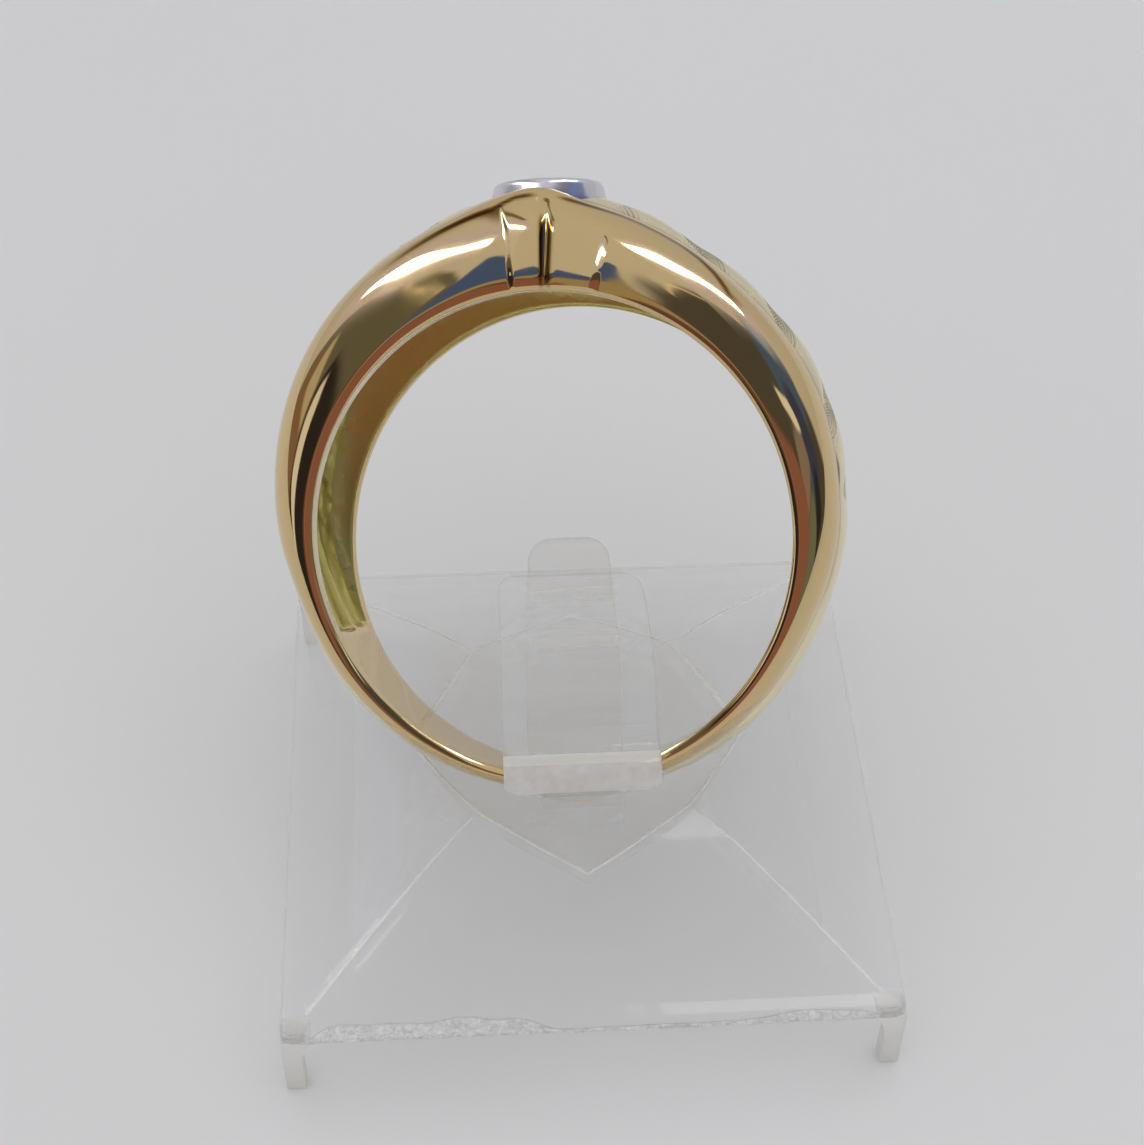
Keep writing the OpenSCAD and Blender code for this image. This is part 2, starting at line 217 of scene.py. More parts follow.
def show(name, mesh, materials, stands_for=()):
    """Puts a mesh in the scene as a piece that rides on the ring's one body."""
    piece = bpy.data.objects.new(name, mesh)
    bpy.context.scene.collection.objects.link(piece)
    for material in materials:
        mesh.materials.append(material)
    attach(piece, "root")
    if stands_for:
        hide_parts(*stands_for)


def corner(p, q, r, radius, steps=4):
    """The corner q of a section, rounded: a short curve from the side towards p to the side towards r."""
    p, q, r = (points_of(*v).astype(float) for v in (p, q, r))
    d0, d1 = p - q, r - q
    n0 = np.linalg.norm(d0, axis=-1, keepdims=True) + 1e-9
    n1 = np.linalg.norm(d1, axis=-1, keepdims=True) + 1e-9
    a, b = q + d0 / n0 * np.minimum(radius, n0 * .45), q + d1 / n1 * np.minimum(radius, n1 * .45)
    t = np.linspace(0, 1, steps)[:, None]
    out = (1 - t) ** 2 * a[..., None, :] + 2 * t * (1 - t) * q[..., None, :] + t ** 2 * b[..., None, :]
    return out[..., 0], out[..., 1]


# ---- the ring's forms

def half_width(angle):
    s = bpy.context.scene.band_ring
    return (s.half_width + s.taper * cos_d(angle) + s.flatness * cos_d(2 * angle)) / MM


def middle_width(angle):
    s = bpy.context.scene.band_ring
    return s.middle_share * half_width(angle) + s.groove_swing / MM * bell(angle, 9)


def height(angle, column):
    """Height over the bore: a cubic from row to row of HEIGHTS, each row's slope taken between its neighbours."""
    t = HEIGHTS
    i = np.clip(np.searchsorted(t[:, 0], angle, side="right") - 1, 0, len(t) - 2)
    d = t[i + 1, 0] - t[i, 0]
    f = clamp((angle - t[i, 0]) / d)
    before, after = np.maximum(i - 1, 0), np.minimum(i + 2, len(t) - 1)
    p0 = np.where(i > 0, t[before, 0], t[i, 0] - d)
    q0 = np.where(i < len(t) - 2, t[after, 0], t[i + 1, 0] + d)
    m0 = (t[i + 1, column] - t[before, column]) / (t[i + 1, 0] - p0) * d
    m1 = (t[after, column] - t[i, column]) / (q0 - t[i, 0]) * d
    return ((2 * f ** 3 - 3 * f ** 2 + 1) * t[i, column] + (f ** 3 - 2 * f ** 2 + f) * m0
            + (3 * f ** 2 - 2 * f ** 3) * t[i + 1, column] + (f ** 3 - f ** 2) * m1)


def squareness(angle):
    return 2 + .7 * smooth(1 - abs(angle) / 75)


def strands_on(angle):
    """1 where the middle band has its strands, which fade beside the setting and before the shank."""
    return smooth((85 - abs(angle)) / 4) * smooth((abs(angle) - 11) / 4)


def groove_on(angle):
    return smooth((110 - abs(angle)) / 30)


def strand_phase(angle, across):
    """Place along the rope counted in strands; it slants from one groove to the other."""
    s = bpy.context.scene.band_ring
    return (abs(angle) - 55 - 7 * across * np.sign(angle)) / s.strand_pitch


def laid_wires(angle, across):
    """The ribbed strands: each is a lens from groove to groove, filled with fine wires that meet at its ends.
    Gives a cover of 0 to 1 and the wires' rounded height, an absolute cosine of the place across the lens."""
    phase = strand_phase(angle, across)
    place = (phase - np.floor(phase) - .5) / (.25 * np.sqrt(np.maximum(1 - .8 * across ** 2, .04)))
    return smooth((1.08 - abs(place)) / .2), abs(np.cos(math.pi * 3.5 * np.clip(place, -1.2, 1.2)))


def rope_relief(angle, across):
    """Relief of the middle band: smooth strands like pillows where a cosine is above nothing, laid wires below."""
    s = bpy.context.scene.band_ring
    wave = np.cos(2 * math.pi * strand_phase(angle, across))
    pillow = np.where(wave > 0, power_of(wave, .5), -.75 * power_of(-wave, .6))
    cover, wires = laid_wires(angle, across)
    relief = s.strand_height / MM * .55 * pillow + s.rib_height / MM * cover * (wires - .45)
    return strands_on(angle) * relief


def outer_height(angle, side):
    """Height over the axis of the ring's outside at a place across it, without relief."""
    s = bpy.context.scene.band_ring
    bore = s.finger_hole / MM / 2
    w, m, v = half_width(angle), middle_width(angle), abs(side)
    h, p = height(angle, 1), squareness(angle)
    middle = bore + h - GROOVE + (height(angle, 2) - h + GROOVE) * (1 - clamp(v / m) ** 3)
    band = bore + RIM + (h - RIM) * power_of(1 - clamp((v - m) / (w - m)) ** p, 1 / p)
    return np.where(v <= m, middle, band)


def stations(count, crease=0.0):
    """Angles round the ring: equal steps of a sum whose weight is 1 by the rope, less behind and more by the crease."""
    fine = np.linspace(-180, 180, 20001)
    weight = .36 + .64 * smooth((96 - abs(fine)) / 10) + crease * bell(fine - 3, 8)
    total = join([0], np.cumsum((weight[1:] + weight[:-1]) / 2))
    return np.interp(np.arange(count) / count * total[-1], total, fine)[:, None]


def give(mesh, name, values):
    """Gives each point of a mesh a number that its material can read."""
    layer = mesh.attributes.new(name, "FLOAT", "POINT")
    layer.data.foreach_set("value", np.ascontiguousarray(values, np.float32).ravel())


def round_ring(angle, side, out):
    """Carries a section round the ring's axis: across is Y and out is the distance from the axis."""
    return in_clip_pose(points_of(out * sin_d(angle), -side, out * cos_d(angle)))


def in_clip_pose(local):
    """The ring's own frame set in the clip: rolled, leaned back, turned and moved."""
    s = bpy.context.scene.band_ring
    p = turned(turned(turned(local, "y", ROLL), "x", -s.lean), "z", TURN)
    return p + np.array([RING_X, RING_Y + BACK_SHIFT, RING_Z])


class RING_OT_polished_bands(bpy.types.Operator):
    """The two polished outer bands with their rims, the bore and the hollow back, as one gold casting"""
    bl_idname = "ring.polished_bands"
    bl_label = "Polished bands"

    def execute(self, context):
        """Section: chamfered rim, a quarter of a superellipse up to the groove, the same mirrored, and the lip and
        roof of the hollow. By the crease the superellipse's lower part gives way to a straight line touching it."""
        s = context.scene.band_ring
        bore, lip = s.finger_hole / MM / 2, s.lip / MM
        a = stations(760, 2.5)
        w, m, h, p = half_width(a), middle_width(a), height(a, 1), squareness(a)
        valley = s.valley_depth / MM * np.exp(-abs(a) / 5) - .14 * bell(abs(a) - 14, 9) + .10 * bell(a - .9, 1.5)
        f = np.linspace(0, 90, 28)[None, :]
        arc_s = m + (w - m) * power_of(cos_d(f), 2 / p)
        arc_s = arc_s - valley * power_of(sin_d(f), .7) * power_of(cos_d(f), .7)
        arc_r = bore + RIM + (h - RIM) * power_of(sin_d(f), 2 / p)
        chord = (arc_r - bore - RIM) / ((h - RIM) * sin_d(FLAT_TOP) ** (2 / p))
        crease = .15 * np.exp(-abs(a - 1.7) / .6) * np.sqrt(clamp(chord))
        slant = (1 - cos_d(FLAT_TOP) ** (2 / p)) * chord
        flat = w - (w - m) * (slant - .036 - .037 * clamp(chord / .12)) - crease
        beside = np.where(a < 3, smooth((-5 - a) / 1.6), smooth((a - 12) / 2.2))
        arc_s = flat + (arc_s - flat) * (.05 + .95 * np.maximum(beside, smooth((f - 24) / 30)))
        c = s.rim_chamfer / MM
        one = np.ones_like(a)
        foot = corner((w - lip * .6, bore * one), (w - c, bore * one), (w, (bore + RIM) * one), .03, 3)
        foot = [v.reshape(len(a), -1) for v in foot]
        low = bore + h - GROOVE * groove_on(a)
        groove_s = join(m - .05, m - .10)
        groove_r = join(low, low - .25)
        # the hollow: lip, steep side and roof, which follows the outside at the wall's thickness
        k = join([-1.0, -.985], -.9 * np.cos(np.linspace(0, math.pi, 27)), [.985, 1.0])[None, :]
        side = k * (w - lip)
        deep = smooth((112 - abs(a)) / 2.5 + .5)
        roof = .75 + 1.8 * bell(a, 15)
        rise = np.maximum(outer_height(a, np.clip(k, -.9, .9) * (w - lip)) - roof - bore, 0)
        across = side / m
        wave = np.cos(2 * math.pi * strand_phase(a, across))
        cover, wires = laid_wires(a, np.clip(across, -1, 1))
        strands = strands_on(a)
        inside = strands * (.13 * wave - .13 * cover * (1 - wires)) * smooth((1.3 - abs(across)) / .3)
        inside = inside - .12 * strands + .045 * grain(round_ring(a, side, bore + rise), .34, 4)
        steep = np.where(abs(k) > .99, 0, np.where(abs(k) > .98, .12, 1))
        hollow_r = bore + deep * np.maximum(rise + inside, .02) * steep
        near_s, near_r = join(foot[0], arc_s, groove_s), join(foot[1], arc_r, groove_r)
        s_all = join(near_s, -near_s[:, ::-1], side)
        r_all = join(near_r, near_r[:, ::-1], hollow_r)
        points = round_ring(a, s_all, r_all)
        rows, columns = points.shape[:2]
        faces = grid_quads(rows, columns, close_rows=True)
        mesh = mesh_of("polished_bands", points, faces)
        column = np.arange(columns)[None, :]
        cast = (column >= columns - k.shape[1]) & (column < columns - 1) & (abs(a) < 111.5)
        mesh.polygons.foreach_set("material_index", cast.astype(np.int32).ravel())
        # painted shade: dark in the grooves, in a line along the crest where the groove's shade shows over it, and in
        # two streaks down the crease
        seam = np.zeros((rows, columns))
        arc = foot[0].shape[1] + arc_s.shape[1]
        seam[:, arc - 4:arc + 6] = np.array([.15, .45, .9, 1, 1, 1, 1, .9, .45, .15]) * groove_on(a)
        line = np.interp(a, [-16, -8, -4, 2, 7, 14, 26, 30, 34, 39], [18.2, 18.4, 21, 21.7, 23, 24, 24, 23, 21, 17.5])
        reach = smooth((abs(a - 1.5) - 1) / 3) * smooth(np.where(a < 0, (a + 34) / 14, (44 - a) / 8))
        seam = np.maximum(seam, bell(column - line, .95) * reach)
        crease_shade = np.maximum(bell(a - .9, .42), .9 * bell(a - 2.6, .5))
        seam = np.maximum(seam, crease_shade * np.clip((column - 2) / 2, 0, 1) * np.clip((15 - column) / 3, 0, 1))
        give(mesh, "seam", seam)
        show("polished_bands", mesh, [polished_gold(), cast_gold()], ["ring_body"])
        return {"FINISHED"}


class RING_OT_rope_band(bpy.types.Operator):
    """The middle band: plump smooth strands between ribbed ones, lying in the groove"""
    bl_idname = "ring.rope_band"
    bl_label = "Rope band"

    def execute(self, context):
        """Section: a cubic crown from groove to groove with the rope's relief, closed below inside the gold."""
        s = context.scene.band_ring
        bore = s.finger_hole / MM / 2
        a = stations(1500)
        m, h = middle_width(a) - .05, height(a, 1)
        low = bore + h - GROOVE * groove_on(a)
        q = -np.cos(np.linspace(0, math.pi, 40))[None, :]
        out = low + (bore + height(a, 2) - low) * (1 - abs(q) ** 3) + rope_relief(a, q) * (1 - q * q)
        side = join(q * m, m, -m)
        out = join(out, low - .2, low - .2)
        points = round_ring(a, side, out)
        mesh = mesh_of("rope_band", points, grid_quads(*points.shape[:2], close_rows=True))
        cover, wires = laid_wires(a, q)
        # painted shade: dark in the cuts between the laid wires and along the grooves at the rope's edges
        cut_shade = strands_on(a) * cover * .75 * power_of(1 - wires, 2)
        seam = clamp(cut_shade + groove_on(a) * bell((1 - abs(q)) / .13, 1))
        give(mesh, "seam", join(seam, seam[:, :2] * 0 + 1))
        show("rope_band", mesh, [chased_gold()], ["ring_body"])
        return {"FINISHED"}


class RING_OT_setting(bpy.types.Operator):
    """The white collet with its rolled rim, and the cut stone in it"""
    bl_idname = "ring.setting"
    bl_label = "Setting and stone"

    def execute(self, context):
        """Collet: a profile turned round the setting's axis. Stone: rings of 8 and 16 corners joined by flat facets."""
        s = context.scene.band_ring
        bore = s.finger_hole / MM / 2
        z1, g = bore + s.setting_top / MM, s.stone / MM / 2
        z0 = z1 - 1.78
        r0, r1 = s.setting / MM / 2, s.setting / MM / 2 - .13
        outline = [(.9, z0), (r0, z0), (r0, z1 - .75), (r1, z1 - .14), (r1 - .10, z1 - .01), (g + .06, z1),
                   (g - .12, z1 - .06), (g - .1, z1 - .16), (g + .04, z1 - .42), (g + .04, z1 - .6), (.9, z1 - 1.35)]
        soft = [.03, .05, .12, .08, .06, .07, .03, .02, .02, .03, .03]
        after = outline[1:] + outline[:1]
        parts = [points_of(*corner(*v, 4)).reshape(-1, 2) for v in zip(outline[-1:] + outline, outline, after, soft)]
        profile = np.concatenate(parts)
        t = np.linspace(0, 360, 128, endpoint=False)[:, None]
        local = points_of(SETTING_SHIFT + profile[:, 0] * cos_d(t), profile[:, 0] * sin_d(t), profile[:, 1])
        mesh = mesh_of("collet", in_clip_pose(local), grid_quads(*local.shape[:2], close_rows=True))
        show("collet", mesh, [polished_white_gold()], ["setting"])
        g = g - .02
        zg, top, culet = z1 - .46, z1 - .05, z1 - 1.69
        eight, sixteen = np.arange(8) * 45.0, np.arange(16) * 22.5

        def ring_of(radius, angles, z):
            return points_of(radius * cos_d(angles), radius * sin_d(angles), z)
        local = np.concatenate([
            ring_of(.56 * g, eight, top), ring_of(.76 * g, eight + 22.5, top - .19), ring_of(g, sixteen, zg),
            ring_of(g, sixteen, zg - .08), ring_of(.5 * g, eight + 22.5, zg - .08 - .56), np.array([[0, 0, culet]])])
        faces = [tuple(range(8))]
        for i in range(8):
            n, k, l = (i + 1) % 8, 2 * i, (2 * i + 2) % 16
            faces += [
                (i, n, 8 + i), (n, 8 + i, 16 + l, 8 + n), (8 + i, 16 + k, 16 + k + 1), (8 + i, 16 + k + 1, 16 + l),
                (16 + k, 32 + k, 32 + k + 1, 16 + k + 1), (16 + k + 1, 32 + k + 1, 32 + l, 16 + l),
                (32 + k, 48 + i, 32 + k + 1), (32 + k + 1, 48 + i, 32 + l), (48 + i, 56, 48 + n, 32 + l)]
        local[:, 0] += SETTING_SHIFT
        centre = local.mean(0)
        faces = [f if np.dot(np.cross(local[f[1]] - local[f[0]], local[f[2]] - local[f[0]]),
                             local[list(f)].mean(0) - centre) > 0 else f[::-1] for f in faces]
        mesh = mesh_of("cut_stone", in_clip_pose(local), faces, flat=True)
        show("cut_stone", mesh, [cut_stone()], ["stone"])
        return {"FINISHED"}


# ---- the stand's forms

def in_clip(local):
    """The clip's own frame: origin under the shank, Z along the leaves."""
    s = bpy.context.scene.band_ring
    lean, turn, roll = (math.radians(v) for v in (s.lean, TURN, ROLL))
    r = s.finger_hole / MM / 2 + .37
    y = RING_Y - r * (math.cos(turn) * math.sin(lean) * math.cos(roll) + math.sin(turn) * math.sin(roll))
    z = RING_Z - r * math.cos(lean) * math.cos(roll)
    return turned(local, "x", -s.lean) + np.array([-.11, y + BACK_SHIFT, z])


def leaf_offset(share):
    """Distance of a leaf's middle line from the throat's middle, eased from row to row of LEAF_LINE."""
    i = np.clip(np.searchsorted(LEAF_LINE[:, 0], share, side="right") - 1, 0, len(LEAF_LINE) - 2)
    f = smooth((share - LEAF_LINE[i, 0]) / (LEAF_LINE[i + 1, 0] - LEAF_LINE[i, 0]))
    return LEAF_MIDDLE - PINCH * (LEAF_LINE[i, 1] + (LEAF_LINE[i + 1, 1] - LEAF_LINE[i, 1]) * f)


def strip(path_y, path_z, left, right, thick, radius):
    """A flat strip along a path: a rectangle with round corners, square to the path, of varying width and thickness."""
    d = points_of(np.gradient(path_y), np.gradient(path_z))
    d /= np.linalg.norm(d, axis=1, keepdims=True)
    ny, nz = -d[:, 1:2], d[:, 0:1]
    t = np.radians(np.linspace(0, 90, 6))
    rad = np.minimum(radius, np.minimum(thick / 2, (right - left) / 4))[:, None]
    l, r, h = left[:, None], right[:, None], thick[:, None] / 2
    c, s = np.cos(t)[None, :], np.sin(t)[None, :]
    x = join(r - rad + rad * c, l + rad - rad * s, l + rad - rad * c, r - rad + rad * s)
    n = join(h - rad + rad * s, h - rad + rad * c, -h + rad - rad * s, -h + rad - rad * c)
    points = points_of(x, path_y[:, None] + ny * n, path_z[:, None] + nz * n)
    return points, capped(points)


def clip_mesh():
    """The clip as one strip: the path runs down the front leaf, under the shank and up the tongue."""
    s = bpy.context.scene.clip_stand
    lf, lt, t = s.leaf_length / MM, s.tongue_length / MM, s.leaf_thickness / MM
    ends = 1 - np.cos(np.linspace(0, math.pi / 2, 8))
    zf = join(lf - LEAF_END * ends[:-1], np.linspace(lf - LEAF_END, .03, 150))
    yf = -leaf_offset(zf / lf) - .035 * bell(zf - FOLD, .09)
    zs, rc = -.45, .48      # height of the strap, and radius of its two corners
    turn = np.linspace(0, 90, 10)[1:]
    y_in, y_out = yf[-1], -yf[-1]
    c1y, c1z = y_in + rc - rc * cos_d(turn), .03 - rc * sin_d(turn)
    ys = np.linspace(y_in + rc, y_out - rc, 24)[1:-1]
    c2y, c2z = y_out - rc + rc * sin_d(np.append(0, turn)), .03 - rc * cos_d(np.append(0, turn))
    zt = join(np.linspace(.03, lt - LEAF_END, 190)[1:], (lt - LEAF_END * ends[::-1])[1:])
    ridges = sum(share * bell(zt - middle, wide) for middle, wide, share in RIDGES)
    yt = leaf_offset(zt / lt) - .05 * ridges
    y = join(yf, c1y, ys, c2y, yt)
    z = join(zf, c1z, np.full(len(ys), zs), c2z, zt)
    n_front, n_strap = len(zf), len(c1y) + len(ys) + len(c2y)
    left, right = (np.interp(zf, FRONT_EDGES[:, 0], FRONT_EDGES[:, i]) for i in (1, 2))
    half = 1.85 - .04 * clamp(zt / (lt * .5)) - .26 * smooth((zt / lt - .5) / .5)
    half = np.where(zt > lt - .9, half - .9 + np.sqrt(np.maximum(.81 - np.clip(zt - lt + .9, 0, .9) ** 2, 0)), half)
    half = np.where(zt < .6, STRAP + .35 * smooth((zt - .03) / .5), half)
    left = join(left, np.full(n_strap, -STRAP), -half)
    right = join(right, np.full(n_strap, STRAP), half)
    round_end = np.sqrt(np.maximum(1 - clamp((zf - lf + LEAF_END) / LEAF_END) ** 2, .01))
    round_top = np.sqrt(np.maximum(1 - clamp((zt - lt + LEAF_END) / LEAF_END) ** 2, .01))
    thick = join(t * round_end, np.full(n_strap, .42), t * round_top)
    thick[8:-8] = np.convolve(np.pad(thick[8:-8], 6, mode="edge"), np.ones(13) / 13, "valid")
    points, faces = strip(y, z, left, right, thick, .17)
    # looks: 1, frosted white with painted highlights, on the leaf's fold and the tongue's ridges; 2, clouded, on the
    # leaf's lip; the caps are clear
    row = np.arange(len(faces) - 2) // points.shape[1]
    front, back = row < n_front - 1, row > n_front + n_strap
    ridge_highlights = abs(z[row][:, None] - RIDGES[:3, 0]) < np.array([.07, .07, .13])
    look = np.where(front & (z[row] < 1.09), 2, front & (abs(z[row] - FOLD) < .13) | back & ridge_highlights.any(1))
    return in_clip(points), faces, np.append(look, [0, 0])


def post_mesh():
    """The tongue's foot: a short strip straight down from the strap into the recess."""
    z, half = np.linspace(-.5, -2.2, 8), np.full(8, 1.78)
    points, faces = strip(np.full(8, LEAF_MIDDLE), z, -half, half, np.full(8, .52), .1)
    return in_clip(points), faces, np.zeros(len(faces))


def pyramid_height(d):
    """The pyramid's height over the floor at a distance from its middle: straight between the rows of PYRAMID, and
    rounded at each by the mean of seven places beside it."""
    s = bpy.context.scene.clip_stand
    rows = PYRAMID[::-1]
    spread = np.linspace(-.3, .3, 7)
    total = sum(np.interp(np.abs(d) + k, rows[:, 0], rows[:, 1]) for k in spread) / len(spread)
    straight = np.interp(np.abs(d), rows[:, 0], rows[:, 1])
    return s.edge_height / MM + np.where(np.abs(d) > 10.1, straight, total)


def base_mesh():
    """The base as rings round its middle: recess floor, its four slopes, the pyramid's faces, the thin wall, and the
    same below. A ring is a square whose corners are rounded by a high power, and the recess is a diamond."""
    s = bpy.context.scene.clip_stand
    half, edge, wall = s.base_width / MM / 2, s.edge_height / MM, .9
    # compass directions, closest together by the corners and by the sides' middles
    u = np.linspace(0, 1, 33)[:-1]
    octant = 45 * u * u * (3 - 2 * u)
    octant[-1] = 44.75
    quarter = join(octant, 90 - np.append(octant[1:], 45)[::-1])
    way = join(*(quarter + 90 * k for k in range(4)))[None, :]
    c, n = abs(cos_d(way)), abs(sin_d(way))
    p = 70
    square = (c ** p + n ** p) ** (1 / p)      # distance from the middle to a square of half width 1 is 1 over this
    diamond = c + n

    def cut(rho, drop):
        return RECESS_FLOOR - drop * 1.1 + RECESS_SLOPE * (rho * diamond - RECESS_HALF)

    def surface(rho, inset, drop):
        pyramid = pyramid_height(rho * square + inset) - drop
        return np.minimum(pyramid, np.maximum(cut(rho, drop), RECESS_FLOOR - drop * 1.1))

    def brink(inset, drop):
        """Where the recess's slope meets the pyramid, found by halving."""
        lo, hi = np.full_like(way, 1.5), np.full_like(way, 9.0)
        for _ in range(40):
            mid = (lo + hi) / 2
            over = cut(mid, drop) > pyramid_height(mid * square + inset) - drop
            lo, hi = np.where(over, lo, mid), np.where(over, mid, hi)
        return (lo + hi) / 2
    rings, heights = [], []

    def ring(rho, z):
        rings.append(rho + 0 * way)
        heights.append(z + 0 * way)
    floor, out = RECESS_HALF / diamond, half / square
    top = brink(0, 0)
    for k in (.02, .5, .97, 1.0, 1.03):
        ring(floor * k, surface(floor * k, 0, 0))
    for k in (.25, .5, .75, .975, 1.0, 1.012):
        rho = floor * (1 - k) + top * k
        ring(rho, surface(rho, 0, 0))
    for d in join(np.linspace(4.2, 10.2, 25), [10.36, 10.43, 10.5, 10.9, half - .05]):
        rho = np.maximum(d / square, top * 1.02)
        ring(rho, surface(rho, 0, 0))
    ring(out, edge - .04)
    ring(out, edge - .24)
    ring((half - .04) / square, edge - .28)
    under = brink(wall, wall)
    line = np.linspace(11, 6, 101)
    inner = np.interp(edge - .28 + wall, pyramid_height(line), line) - wall
    ring((inner + .05) / square, edge - .28)
    for d in join([inner - .05], np.linspace(inner - .3, 3.4, 18)):
        rho = np.maximum(d / square, under * 1.02)
        ring(rho, np.maximum(surface(rho, wall, wall), edge - .28))
    for k in (1.0, .6, .3, 0.0):
        rho = floor * (1 - k) + under * k
        ring(rho, surface(rho, wall, wall))
    ring(floor * .02, surface(floor * .02, wall, wall))
    rho, z = np.concatenate(rings, 0), np.concatenate(heights, 0)
    points = points_of(rho * cos_d(way), rho * sin_d(way) + BACK_SHIFT, z)
    faces = capped(points)
    # painted highlights: white lines along the recess's brink and the four hips, in the frosted look
    row, column = np.divmod(np.arange(len(faces) - 2), points.shape[1])
    middle = (way[0, column] + np.append(way[0], 360)[column + 1]) / 2
    hip_highlight = (abs(middle % 90 - 45) < .3) & (row > 10) & (row < 37)
    return points, faces, np.append(hip_highlight | (row == 8) | (row == 9), [False, False])


def foot_mesh(sx, sy):
    """A corner foot: a small square whose two inner sides swing out in a curve under the wall."""
    s = bpy.context.scene.clip_stand
    half, top = s.base_width / MM / 2, s.edge_height / MM - .2
    z = join([0, .05], np.linspace(.12, top, 20))
    inner = .7 + .45 * power_of((z - top + 1.9) / 1.9, 3) - .05 * (z < .02)
    outer = np.where(z < .02, .05, .02)
    x0, x1 = half - outer, half - inner
    ring = [(x1, x1), (x0, x1), (x0, x0), (x1, x0)]
    points = np.stack([points_of(sx * a, sy * b + BACK_SHIFT, z) for a, b in ring], 1)
    faces = capped(points)
    return points, faces, np.ones(len(faces))


def torn_edge_mesh():
    """The torn flash along the front wall: a strip up the wall and a little onto the slope, pushed out by sharp lumps.
    Their height is the size of two sums of waves, so that they fold like creased foil."""
    s = bpy.context.scene.clip_stand
    half, edge = s.base_width / MM / 2, s.edge_height / MM
    step = .28      # height that the strip climbs before it turns onto the slope
    x = np.linspace(-10.5, 10.3, 420)[:, None]
    v = np.linspace(0, 1, 17)[None, :]
    left, right = smooth((-x - 1.2) / 2) * smooth((x + 10.6) / 1.2), smooth((x - 5) / 2) * smooth((10.4 - x) / 1)
    tall = .32 + .68 * left + .35 * right
    tall = tall * (.75 + .25 * grain(points_of(x, 0, 0), .9, 3))
    flat = points_of(x, 1.7 * v, 0)
    lumps = .075 * (abs(grain(flat, .55, 11)) * 2.4 + abs(grain(flat, .24, 12)) * 1.6)
    edge_fade = np.sqrt(np.maximum(np.sin(v * math.pi), 0)) * smooth((10.6 + x) / .4) * smooth((10.4 - x) / .4)
    along = tall * v
    up = np.where(along < step, edge - step + along, edge + (along - step) * .24)
    back = np.where(along < step, 0, (along - step) * .97)
    y = -half + back + .015 - lumps * edge_fade * np.where(along < step, 1, .3)
    z = up + lumps * edge_fade * np.where(along < step, .15, .95)
    front = points_of(x, y, z)
    rear = points_of(x, -half + back + .12, up - .10)
    points = np.concatenate([front, rear[:, ::-1]], 1)
    return points + np.array([0, BACK_SHIFT, 0]), capped(points)


class RING_OT_stand(bpy.types.Operator):
    """The clear moulding: base, four feet and clip, joined to one solid"""
    bl_idname = "ring.stand"
    bl_label = "Clear stand"

    def execute(self, context):
        """Base, feet, clip and its foot are surfaces of their own, joined by a union and read back as one mesh."""
        # the second look is frosted on the feet and white with painted highlights on the hips, the brink, the fold and
        # the ridges
        looks = clear_plastic(), frosted_and_highlight_plastic(), clouded_plastic()
        parts = [("base", *base_mesh()), ("clip", *clip_mesh()), ("post", *post_mesh())]
        parts += [(f"foot{i}", *foot_mesh(*c)) for i, c in enumerate([(-1, -1), (1, -1), (-1, 1), (1, 1)])]
        objects = []
        for name, points, faces, look in parts:
            mesh = mesh_of("part_" + name, points, faces)
            for plastic in looks:
                mesh.materials.append(plastic)
            mesh.polygons.foreach_set("material_index", look.astype(np.int32))
            o = bpy.data.objects.new("part_" + name, mesh)
            context.scene.collection.objects.link(o)
            objects.append(o)
        base = objects[0]
        for o in objects[1:]:
            union = base.modifiers.new("join", "BOOLEAN")
            union.operation, union.solver, union.object = "UNION", "EXACT", o
        context.view_layer.update()
        joined = bpy.data.meshes.new_from_object(base.evaluated_get(context.evaluated_depsgraph_get()))
        joined.name = "clear_stand"
        for o in objects:
            bpy.data.objects.remove(o)
        joined.polygons.foreach_set("use_smooth", np.ones(len(joined.polygons), bool))
        joined.set_sharp_from_angle(angle=math.radians(38))
        show("clear_stand", joined, [], ["stand"])
        torn = mesh_of("torn_edge", *torn_edge_mesh(), flat=True)
        show("torn_edge", torn, [torn_plastic()])
        return {"FINISHED"}


# ---- materials

def material(name):
    """An empty node material, its nodes, and the object's own coordinates, which carry the patterns."""
    made = bpy.data.materials.new(name)
    made.use_nodes = True
    made.node_tree.nodes.clear()
    return made, made.node_tree, add(made.node_tree, "ShaderNodeTexCoord").outputs["Object"]


def shaded(made, numbers, links):
    """Closes a material: its shader, with plain numbers and linked sockets, and its output."""
    shader = add(made.node_tree, "ShaderNodeBsdfPrincipled", numbers, links)
    add(made.node_tree, "ShaderNodeOutputMaterial", {}, {"Surface": shader})
    return made


def patchy(tree, place, noise, span, numbers):
    """A noise, and a number that swings from one value to another where the noise runs through a span."""
    patches = add(tree, "ShaderNodeTexNoise", noise, {"Vector": place})
    ends = {"From Min": span[0], "From Max": span[1], "To Min": numbers[0], "To Max": numbers[1]}
    return patches, add(tree, "ShaderNodeMapRange", ends, {"Value": patches})


def finish(name):
    """A colour that the panel sets."""
    return tuple(getattr(bpy.context.scene.ring_finish, name))


def gold_with_painted_shade(name, colours, *wear):
    """Polished gold with painted shade: its colour goes dark where the mesh's own number for that shade rises to 1."""
    made, tree, place = material(name)
    seam = add(tree, "ShaderNodeAttribute", {"attribute_name": "seam"})
    tones = list(zip((0.0, .55, 1.0), colours))
    tone = add(tree, "ShaderNodeValToRGB", {"stops": tones}, {"Fac": seam.outputs["Fac"]})
    gloss = patchy(tree, place, *wear)[1]
    return shaded(made, {"Metallic": 1.0}, {"Base Color": tone, "Roughness": gloss})


